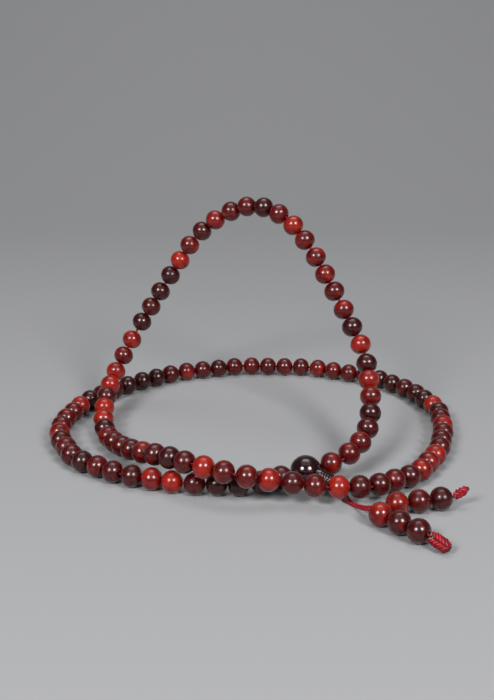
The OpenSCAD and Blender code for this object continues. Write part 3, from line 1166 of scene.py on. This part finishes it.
@dataclass
class GuruTower:
    """The guru bead and the turned finial that stands on it.

    Attributes:
        finishes: The materials.
        runs: The main strand's runs, for the bore's direction.
        guru_width: Across the guru bead.
        guru_bore: Width of its bore.
        guru_lip: How far a mouth's rounding reaches out from that bore.
        gap: Between the guru bead and the finial.
        foot_width: Across the finial's foot.
        base_height: Height of the foot.
        tip_height: Height of the plain tip above the rings.
        wall: Thickness of the tip round the bore.
        ring_count: How many rings it has.
        ring_step: How much smaller each ring's radius is than the one below.
        ring_bulge: Radius of a ring's rounding, as a share of its height.
        ring_reach: How far that rounding goes up and down, in degrees.
        foot_edge: Radius of the foot's upper edge.
        foot_edge_drop: How far that radius's middle is below the foot's top.
        foot_flank: How far the foot's straight flank ends below its top.
        tip_edge: Radius of the tip's rim.
        bore: Width of the finial's bore.
        bore_rim: How far its inner edge is below the mouth.
        mouth_shade_reach: How far the painted shade reaches from the bore.
        tone_range: The finial's tone is picked from this range.
        guru_at: The guru bead's middle.
        guru_way: The direction of its bore.
        mouth: Where the cord ends leave the finial.
        tower_way: The direction in which the finial points.
        tower_height: From the guru bead's middle to the mouth.
    """

    finishes: Finishes
    runs: list[Run]
    guru_width: float = 11.0 * MM
    guru_bore: float = 2.6 * MM
    guru_lip: float = 0.4 * MM
    gap: float = 0.25 * MM
    foot_width: float = 6.4 * MM
    base_height: float = 1.1 * MM
    tip_height: float = 1.2 * MM
    wall: float = 0.5 * MM
    ring_count: int = 6
    ring_step: float = 0.12 * MM
    ring_bulge: float = 0.52
    ring_reach: float = 66.0
    foot_edge: float = 0.22 * MM
    foot_edge_drop: float = 0.26 * MM
    foot_flank: float = 0.34 * MM
    tip_edge: float = 0.25 * MM
    bore: float = 2.6 * MM
    bore_rim: float = 0.8 * MM
    mouth_shade_reach: float = 0.3 * MM
    tone_range: tuple[float, float] = (0.4, 0.6)
    guru_at: Vector = field(init=False)
    guru_way: Vector = field(init=False)
    mouth: Vector = field(init=False)
    tower_way: Vector = field(init=False)
    tower_height: float = field(init=False)

    def __post_init__(self) -> None:
        """Finds both pieces in the part."""
        self.guru_at = middle_of("guru_bead")
        before, after = self.runs[-1].face(1), self.runs[0].face(-1)
        self.guru_way = (after - before).normalized()
        swing = next(j for j in frame["joints"] if j["name"] == "counter_a_swing")
        self.mouth = Vector(swing["pos_m"])
        self.tower_way = (self.mouth - self.guru_at).normalized()
        self.tower_height = (self.mouth - self.guru_at).length

    def tower_outline(self) -> list[tuple[float, float]]:
        """The finial's closed outline, with heights from the guru bead's middle."""
        seat = self.guru_width / 2 + self.gap
        bore, foot = self.bore / 2, self.foot_width / 2
        seat_angle = math.degrees(math.acos(foot / seat))
        inner_angle = math.degrees(math.acos(bore / seat))
        outline = arc((0.0, 0.0), seat, inner_angle, seat_angle, 6)
        base_top = seat + self.base_height
        low_edge = outline[-1][1]
        outline[-1:] = [(foot - inward * MM, low_edge + rise * MM) for inward, rise in FOOT_RIM]
        outline += [(foot, base_top - self.foot_flank)]
        edge = (foot - self.foot_edge, base_top - self.foot_edge_drop)
        outline += arc(edge, self.foot_edge, 20.0, 80.0, 4)
        span = (self.tower_height - base_top - self.tip_height) / self.ring_count
        for i in range(self.ring_count):
            middle = foot - span / 2 - self.ring_step * (i + 1)
            height = base_top + span * (i + 0.5)
            outline += arc((middle, height), span * self.ring_bulge, -self.ring_reach, self.ring_reach, 8)
        tip, rings_top = bore + self.wall, base_top + span * self.ring_count
        outline += [(tip + out * MM, rings_top + rise * MM) for out, rise in TIP_NECK]
        rim = (tip - self.tip_edge, self.tower_height - self.tip_edge)
        outline += arc(rim, self.tip_edge, 0.0, 180.0, 8)
        outline += [(bore, self.tower_height - self.bore_rim), (bore, (seat + self.tower_height) / 2)]
        return outline

    def build(self) -> list[bpy.types.Object]:
        """Turns both pieces.

        Returns:
            The guru bead and the finial.
        """
        turner = TurnedBead(self.guru_width, self.guru_width, self.guru_bore, self.guru_lip,
                            self.finishes.dark_wood, Slot.DARK_WOOD, random.Random(GURU_SEED),
                            sides=72, rows=44)
        guru = turner.build("guru", self.guru_at, self.guru_way, 0.5)
        points, faces = lathe(self.tower_outline(), turner.sides)
        tower = piece_from("turned_finial", points, faces, self.finishes.dark_wood)
        radius = np.hypot(points[:, 0], points[:, 1])
        # Painted shade: points nearer the finial's bore are painted darker.
        nearness = np.clip(1.0 - (radius - self.bore / 2) / self.mouth_shade_reach, 0.0, 1.0)
        draw = random.Random(TOWER_SEED)
        places = points / MM + wood_shift(draw)
        dress_wood(tower, places, draw.uniform(*self.tone_range), nearness)
        tower.matrix_world = aim(self.guru_at, self.tower_way)
        for piece, node in ((guru, "guru_bead"), (tower, "finial")):
            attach(piece, Body.STRAND.value)
            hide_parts(node)
        return [guru, tower]


# ---------------------------------------------------------------------------------------------------
# Cord


@dataclass
class TwistedCord:
    """Plies twisted together.

    Attributes:
        finish: The cord's material.
        width: Across the whole cord.
        lay: The length in which a ply goes once round.
        plies: How many plies it has; a single ply is as wide as the cord.
        sides: Steps round one ply.
        ply_share: Width of one of several plies, as a share of the cord's.
        dye_pace: How fast the filament pattern changes along the cord.
        ply_shift: How far apart the patterns of two plies are.
    """

    finish: bpy.types.Material
    width: float = 1.0 * MM
    lay: float = 3.0 * MM
    plies: int = 3
    sides: int = 8
    ply_share: float = 0.464
    dye_pace: float = 0.16
    ply_shift: float = 7.3

    def frames(self, line: Line, reference: Vector) -> tuple[np.ndarray, np.ndarray]:
        """The two directions across the cord at each point of a line.

        Args:
            line: The line.
            reference: A direction that the line never takes.

        Returns:
            Both directions, one row for each point.
        """
        ways = line.ways()
        side = np.cross(ways, np.array(reference))
        side /= np.linalg.norm(side, axis=1, keepdims=True)
        return side, np.cross(side, ways)

    def build(self, name: str, line: Line, span: tuple[int, int],
              reference: Vector = UP) -> bpy.types.Object:
        """Makes a stretch of cord.

        Args:
            name: The piece's name.
            line: The line that the whole cord follows.
            span: The numbers of the stretch's first and last point; on a closed line the last may run on.
            reference: A direction that the line never takes.

        Returns:
            The stretch.
        """
        side, lift = self.frames(line, reference)
        step = line.length / (len(line.points) if line.closed else len(line.points) - 1)
        turns = max(1, round(line.length / self.lay)) / line.length
        numbers = np.arange(span[0], span[1] + 1)
        spots = numbers % len(line.points)
        along = numbers * step
        ply_radius = self.width / 2 * (self.ply_share if self.plies > 1 else 1.0)
        offset = self.width / 2 - ply_radius
        round_ply = np.arange(self.sides) * math.tau / self.sides
        points, places, valley_shades, faces = [], [], [], []
        for ply in range(self.plies):
            phase = math.tau * (along * turns + ply / self.plies)
            middle = line.points[spots] + offset * (
                np.cos(phase)[:, None] * side[spots] + np.sin(phase)[:, None] * lift[spots]
            )
            angle = phase[:, None] + round_ply[None, :]
            ring = middle[:, None, :] + ply_radius * (
                np.cos(angle)[..., None] * side[spots][:, None, :]
                + np.sin(angle)[..., None] * lift[spots][:, None, :]
            )
            start = len(points) * len(numbers) * self.sides
            points.append(ring.reshape(-1, 3))
            drift = np.repeat(along / MM * self.dye_pace + ply * self.ply_shift, self.sides)
            places.append(np.column_stack([
                np.tile(np.cos(round_ply), len(numbers)),
                np.tile(np.sin(round_ply), len(numbers)),
                drift,
            ]))
            # Painted shade mask, strongest where a ply faces the cord's middle, in the valley between plies.
            valley_shades.append(np.tile((1 - np.cos(round_ply)) / 2, len(numbers)) ** 2)
            faces += self.skin(start, len(numbers))
        piece = piece_from(name, np.vstack(points), faces, self.finish)
        give(piece.data, FIBRE_PLACE, np.vstack(places))
        give(piece.data, PLY_VALLEY_SHADE, np.concatenate(valley_shades))
        return piece

    def skin(self, start: int, count: int) -> list[list[int]]:
        """The faces of one ply, with both its ends closed.

        Args:
            start: The number of its first point.
            count: How many rings it has.

        Returns:
            The faces.
        """
        faces = []
        for i in range(count - 1):
            here = start + i * self.sides
            for a in range(self.sides):
                b = (a + 1) % self.sides
                faces.append([here + a, here + b, here + self.sides + b, here + self.sides + a])
        last = start + (count - 1) * self.sides
        faces.append([start + a for a in reversed(range(self.sides))])
        faces.append([last + a for a in range(self.sides)])
        return faces


@dataclass
class MainCord:
    """The cord of the main strand: a closed loop through every bead and the guru bead.

    Attributes:
        finishes: The materials.
        runs: The strand's runs, in order.
        tower: The guru bead.
        inset: How far inside a bead the cord starts to bend.
        guru_inset: The same for the guru bead.
        bend_half: Half the length of each short stretch of cord made where the strand passes from one body
            to the next.
        step: Length of one step of the mesh.
    """

    finishes: Finishes
    runs: list[Run]
    tower: GuruTower
    inset: float = 1.5 * MM
    guru_inset: float = 1.0 * MM
    bend_half: float = 1.6 * MM
    step: float = 0.3 * MM

    def draw(self) -> tuple[Line, list[Vector]]:
        """Draws the loop, starting where the strand first lifts off the table.

        Returns:
            The closed line, and the place between each run and the next.
        """
        order = self.runs[1:] + self.runs[:1]
        starts, ways = [], []
        for run in order:
            if run is self.runs[0]:
                half = self.tower.guru_width / 2 - self.guru_inset
                for side in (-1, 1):
                    starts.append(self.tower.guru_at + self.tower.guru_way * (side * half))
                    ways.append(self.tower.guru_way)
            for side in (-1, 1):
                starts.append(run.face(side, self.inset))
                ways.append(run.way)
        starts.append(starts[0])
        ways.append(ways[0])
        pulls = [(b - a).length for a, b in zip(starts, starts[1:])]
        line = even_steps(hermite(starts, ways, pulls), self.step, True)
        corners = [(a.face(1) + b.face(-1)) / 2 for a, b in zip(self.runs, self.runs[1:])]
        return line, corners

    def build(self) -> list[bpy.types.Object]:
        """Makes the cord in stretches that each follow one body, and short bends between bodies.

        Returns:
            The stretches and bends.
        """
        line, corners = self.draw()
        cord = TwistedCord(self.finishes.cord)
        nodes = {Body.STRAND: "main_cord", Body.ARCH_LEGS: "arch_leg_cords", Body.ARCH_TOP: "arch_top_cord"}
        folds = [i for i in range(len(corners)) if self.runs[i].carrier is not self.runs[i + 1].carrier]
        half = round(self.bend_half / self.step)
        count = len(line.points)
        spots = sorted(line.nearest(corners[i]) for i in folds)
        order = sorted(folds, key=lambda i: line.nearest(corners[i]))
        pieces = []
        for n, (spot, fold) in enumerate(zip(spots, order)):
            here, there = self.runs[fold].carrier, self.runs[fold + 1].carrier
            bend = cord.build(f"cord_bend_{n + 1}", line, (spot - half, spot + half))
            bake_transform(bend)
            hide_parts(nodes[there])
            following = spots[(n + 1) % len(spots)]
            last = following + (count if following <= spot else 0)
            stretch = cord.build(f"cord_{there.value}_{n + 1}", line, (spot + half, last - half))
            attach(stretch, there.value)
            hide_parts(nodes[there])
            pieces += [bend, stretch]
        return pieces


@dataclass
class CounterStrand:
    """One free end of the cord: three beads on it and a flat knot that keeps them there.

    Attributes:
        letter: a or b, as in the part's names.
        body: The body that it swings with.
        side: Which of the two cords in the finial it is.
        stem: Places of the bare cord, measured from the finial's mouth along the table, with the height
            above the table, in millimetres.
        first: Where the beads start, measured in the same way.
        knot_drop: How far the knot points down, in degrees.
        knot_roll: How far it is rolled about its own length, in degrees.
        knot_size: The knot's length, width and thickness in millimetres.
        tones: The tone of each bead.
        length: The cord's real length from the finial to the knot; not used.
        seed: Picks the beads' cuts of wood.
        bead_width: Across a bead.
        bead_length: Along its bore.
        bead_bore: Width of its bore.
        bead_lip: How far a mouth's rounding reaches out from the bore.
        bead_gap: Between two beads.
        cord_offset: From the finial's axis to each cord inside it.
        inside: How much of the cord is inside the finial.
        mouth_gap: How far it goes straight on after the mouth.
        step: Length of one step of the mesh.
        swing_stem: The number of a place of the stem; not used.
        knot_lead: From the last bead to the knot.
        way: The direction of the beads' bores.
    """

    finishes: Finishes
    tower: GuruTower
    letter: str
    body: Body
    side: int
    stem: Sequence[tuple[float, float, float]]
    first: tuple[float, float]
    knot_drop: float
    knot_roll: float
    knot_size: tuple[float, float, float]
    tones: tuple[float, float, float]
    length: float
    seed: int
    bead_width: float = 8.0 * MM
    bead_length: float = 7.5 * MM
    bead_bore: float = 1.8 * MM
    bead_lip: float = 0.3 * MM
    bead_gap: float = 0.3 * MM
    cord_offset: float = 0.6 * MM
    inside: float = 9.0 * MM
    mouth_gap: float = 0.6 * MM
    step: float = 0.15 * MM
    swing_stem: int = 1
    knot_lead: float = 1.0 * MM
    way: Vector = field(init=False)

    def __post_init__(self) -> None:
        """Finds the beads' direction in the part."""
        self.way = turning_axis(self.bead_node(0))

    def bead_node(self, i: int) -> str:
        """The part's name for one of the beads."""
        return f"counter_{self.letter}_bead_{i + 1}"

    def knot_way(self) -> Vector:
        """The direction in which the knot points."""
        drop = math.radians(self.knot_drop)
        return Vector((self.way.x * math.cos(drop), self.way.y * math.cos(drop), -math.sin(drop)))

    def knot_at(self) -> Vector:
        """Where the knot starts."""
        last = middle_of(self.bead_node(len(self.tones) - 1))
        return last + self.way * ((self.bead_length + self.bead_gap) / 2) + self.knot_way() * self.knot_lead

    def draw(self) -> tuple[Line, int]:
        """Draws the cord from inside the finial to the knot.

        Returns:
            The line, and the number of the point at the finial's mouth.
        """
        tower = self.tower
        across = UP.cross(tower.tower_way).normalized() * (self.side * self.cord_offset)
        inner = tower.mouth + across - tower.tower_way * self.inside
        floor = Vector((tower.mouth.x, tower.mouth.y, 0.0))
        pitch = self.bead_length + self.bead_gap
        start = floor + Vector((*self.first, 0.0)) * MM + UP * (self.bead_width / 2)
        places = [
            inner,
            tower.mouth + across,
            tower.mouth + across + tower.tower_way * self.mouth_gap,
            *[floor + Vector(place) * MM for place in self.stem],
            *[start + self.way * (pitch * i) for i in range(len(self.tones) + 1)],
            self.knot_at(),
        ]
        line = even_steps(through(places, tower.tower_way), self.step, False)
        return line, line.nearest(tower.mouth + across)

    def build_beads(self) -> list[bpy.types.Object]:
        """Threads the beads."""
        turner = TurnedBead(self.bead_width, self.bead_length, self.bead_bore, self.bead_lip,
                            self.finishes.bead_wood, Slot.BEAD_WOOD, random.Random(self.seed))
        beads = []
        for i, tone in enumerate(self.tones):
            node = self.bead_node(i)
            bead = turner.build(f"counter_bead_{self.letter}{i + 1}", middle_of(node), self.way, tone)
            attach(bead, node)
            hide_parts(node)
            beads.append(bead)
        return beads

    def build(self) -> list[bpy.types.Object]:
        """Makes the whole counter strand.

        Returns:
            Its pieces.
        """
        line, mouth = self.draw()
        cord = TwistedCord(self.finishes.cord, sides=10)
        inner = cord.build(f"cord_in_finial_{self.letter}", line, (0, mouth))
        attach(inner, Body.STRAND.value)
        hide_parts("finial_cords")
        free = cord.build(f"counter_cord_{self.letter}", line, (mouth, len(line.points) - 1))
        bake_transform(free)
        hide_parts(f"counter_{self.letter}_cord")
        beads = self.build_beads()
        size = [side * MM for side in self.knot_size]
        winder = CordKnot(self.finishes, self.knot_at(), self.knot_way(), self.knot_roll, *size)
        knot = winder.build(self.letter)
        for piece in knot:
            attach(piece, self.body.value)
            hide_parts(f"counter_{self.letter}_knot")
        return [inner, free, *beads, *knot]


@dataclass
class CordKnot:
    """A flat knot of two mirrored coils, whose wraps slant together like plaiting.

    Attributes:
        finishes: The materials.
        at: Where it starts.
        way: The direction in which it points.
        roll: How far it is rolled about its own length, in degrees.
        length: Along the knot.
        width: Across both coils.
        thick: Through one coil.
        clear: From the knot's start to its first wrap.
        pitch: From one wrap to the next.
        slant: How far a wrap leans along the knot.
        cord_width: Width of the cord that it is wound from.
        turn_steps: Steps in one wrap.
        taper_from: Where each coil starts to close in, from 0 at its middle to 1 at its ends.
        taper_aside: How far the ends move to the knot's middle line, as a share.
        tip_share: Width of a melted tip, as a share of the cord's.
        tip_inside: How much of a tip is inside the knot.
        tip_outside: How much of it stands out.
    """

    finishes: Finishes
    at: Vector
    way: Vector
    roll: float
    length: float
    width: float
    thick: float
    clear: float = 0.1 * MM
    pitch: float = 1.2 * MM
    slant: float = 0.55 * MM
    cord_width: float = 1.2 * MM
    turn_steps: int = 26
    taper_from: float = 0.75
    taper_aside: float = 0.5
    tip_share: float = 0.8
    tip_inside: float = 0.5 * MM
    tip_outside: float = 0.35 * MM

    def placing(self) -> Matrix:
        """The placing that lays the knot's own x axis along its direction."""
        turn = math.atan2(self.way.y, self.way.x)
        drop = math.atan2(-self.way.z, math.hypot(self.way.x, self.way.y))
        return (
            Matrix.Translation(self.at)
            @ Matrix.Rotation(turn, 4, "Z")
            @ Matrix.Rotation(drop, 4, "Y")
            @ Matrix.Rotation(math.radians(self.roll), 4, "X")
        )

    def coil(self, hand: Hand) -> Line:
        """The line of one coil, in the knot's own frame."""
        wide = self.cord_width
        turns = max(2, round((self.length - wide) / self.pitch))
        share = np.linspace(0.0, 1.0, turns * self.turn_steps + 1)
        angle = math.tau * turns * share * hand.value + math.pi / 2 * (1 - hand.value)
        ends = np.clip(np.abs(share - 0.5) * 2 - self.taper_from, 0.0, 1.0)
        radius = (self.thick - wide) / 2 * (1.0 - ends)
        middle = hand.value * (self.width - self.thick) / 2 * (1.0 - self.taper_aside * ends)
        lean = -hand.value * self.slant * np.cos(angle)
        points = np.column_stack([
            self.clear + self.slant + (self.length - 2 * self.slant) * share + lean,
            middle + radius * np.cos(angle),
            radius * np.sin(angle),
        ])
        return Line(points)

    def straight(self, start: float, end: float, aside: float) -> Line:
        """A short straight line along the knot.

        Args:
            start: Where it starts, along the knot.
            end: Where it ends.
            aside: How far it is from the knot's middle line.

        Returns:
            The line.
        """
        steps = 16
        along = np.linspace(start, end, steps)
        return Line(np.column_stack([along, np.full(steps, aside), np.zeros(steps)]))

    def build(self, letter: str) -> list[bpy.types.Object]:
        """Winds both coils round their cores and adds the melted end of each cord.

        Args:
            letter: The strand's letter.

        Returns:
            The pieces of the knot.
        """
        placing = self.placing()
        wrap = TwistedCord(self.finishes.cord, self.cord_width, plies=1, sides=14)
        core_cord = TwistedCord(self.finishes.cord, self.thick - self.cord_width)
        tip_cord = TwistedCord(self.finishes.tip, self.cord_width * self.tip_share)
        along = Vector((1.0, 0.0, 0.0))
        pieces = []
        for hand in Hand:
            name = f"knot_{letter}_{hand.name.lower()}"
            aside = hand.value * (self.width - self.thick) / 2
            coil = self.coil(hand)
            pieces.append(wrap.build(f"{name}_coil", coil, (0, len(coil.points) - 1), along))
            core = self.straight(self.clear + self.slant, self.length - self.slant, aside)
            pieces.append(core_cord.build(f"{name}_core", core, (0, len(core.points) - 1)))
            tip_ends = self.length - self.tip_inside, self.length + self.tip_outside
            tip = self.straight(*tip_ends, aside * self.taper_aside)
            pieces.append(tip_cord.build(f"{name}_tip", tip, (0, len(tip.points) - 1)))
        for piece in pieces:
            piece.matrix_world = placing
        return pieces


# Each counter strand's bare cord, on the table, as CounterStrand.stem says.
STEM_A = (
    (0.5, -1.9, 2.3), (0.8, -3.8, 1.5), (1.4, -5.6, 0.9), (2.5, -7.3, 0.6), (3.8, -9.1, 0.6),
    (5.0, -11.2, 0.9), (6.0, -13.5, 1.5), (6.8, -15.9, 2.4), (7.6, -18.2, 3.3),
)
STEM_B = (
    (1.7, -1.2, 2.3), (2.2, -3.1, 1.5), (2.7, -5.1, 0.9), (3.7, -6.9, 0.6), (5.1, -8.7, 0.6),
    (6.6, -10.5, 0.9), (8.1, -12.3, 1.5), (9.8, -13.9, 2.4), (11.8, -15.2, 3.3),
)


def write_sizes() -> None:
    """Brings the scene's placings up to date."""
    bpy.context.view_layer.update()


def main() -> None:
    """Builds the studio, then every piece of the string."""
    logging.basicConfig(level=logging.INFO, format="%(name)s: %(message)s")
    studio = Studio()
    studio.place_camera()
    finishes = Finishes()
    string = BeadString(finishes)
    tower = GuruTower(finishes, string.runs)
    strand_a = CounterStrand(
        finishes, tower, "a", Body.COUNTER_A, side=-1, stem=STEM_A, first=(8.5, -20.0), knot_drop=11.0,
        knot_roll=60.0, knot_size=(7.0, 4.6, 2.7), tones=(0.7, 0.4, 0.25), length=0.0475, seed=21)
    strand_b = CounterStrand(
        finishes, tower, "b", Body.COUNTER_B, side=1, stem=STEM_B, first=(13.7, -15.9), knot_drop=-26.0,
        knot_roll=90.0, knot_size=(5.0, 3.4, 2.3), tones=(0.7, 0.45, 0.1), length=0.0475, seed=34)
    for part in (strand_a, strand_b, MainCord(finishes, string.runs, tower), tower, string):
        pieces = part.build()
        log.info("%s: %d pieces, first %s", type(part).__name__, len(pieces), pieces[0].name)
    studio.light()
    studio.lay_floor(finishes.paper)
    write_sizes()


if __name__ == "__main__":
    main()
